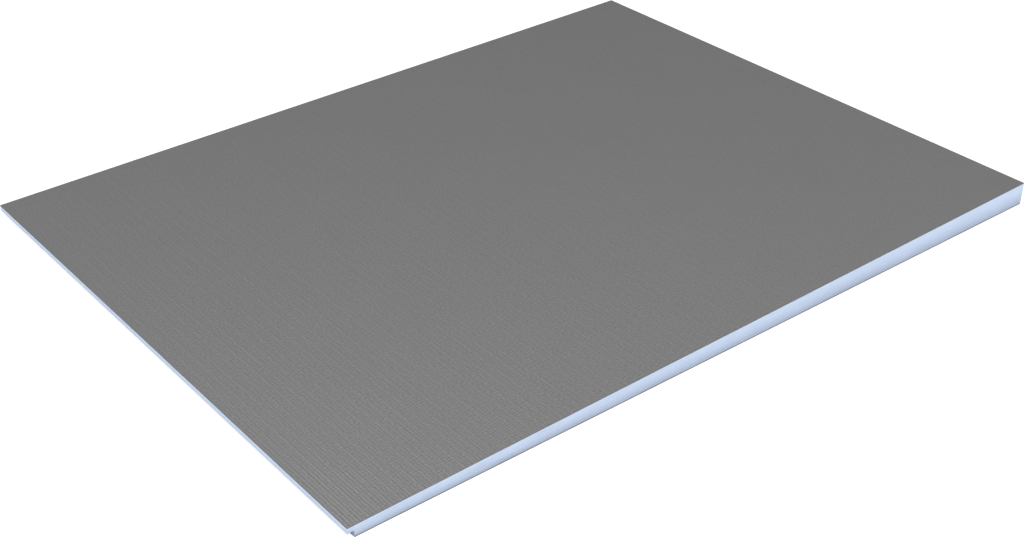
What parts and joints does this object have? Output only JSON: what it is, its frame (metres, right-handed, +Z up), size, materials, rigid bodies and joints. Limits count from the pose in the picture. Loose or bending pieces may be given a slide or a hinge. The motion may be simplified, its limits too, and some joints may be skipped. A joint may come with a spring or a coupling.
{
  "type": "shower sloping board",
  "caption": "Flat foam wedge with mortar-coated broad sides and a rebate under its thin edge, laid to give a tiled shower floor its fall towards a drain.",
  "frame": {"origin": "on the underside, below the middle of the board (bottom centre of its bounding box)", "axes": "+X up the fall, from the thin drain edge to the thick wall edge; +Y along the drain edge; +Z up, out of the sloping side"},
  "size_m": [1.2, 0.9, 0.035],
  "materials": {
    "foam": "light-blue extruded polystyrene foam, saw-cut at every edge",
    "mortar": "matt grey polymer-cement coat with the weave of a glass-fibre mesh showing through"
  },
  "bodies": {
    "root": {"foam_core": "foam", "top_facing": "mortar", "bottom_facing": "mortar"}
  },
  "joints": []
}
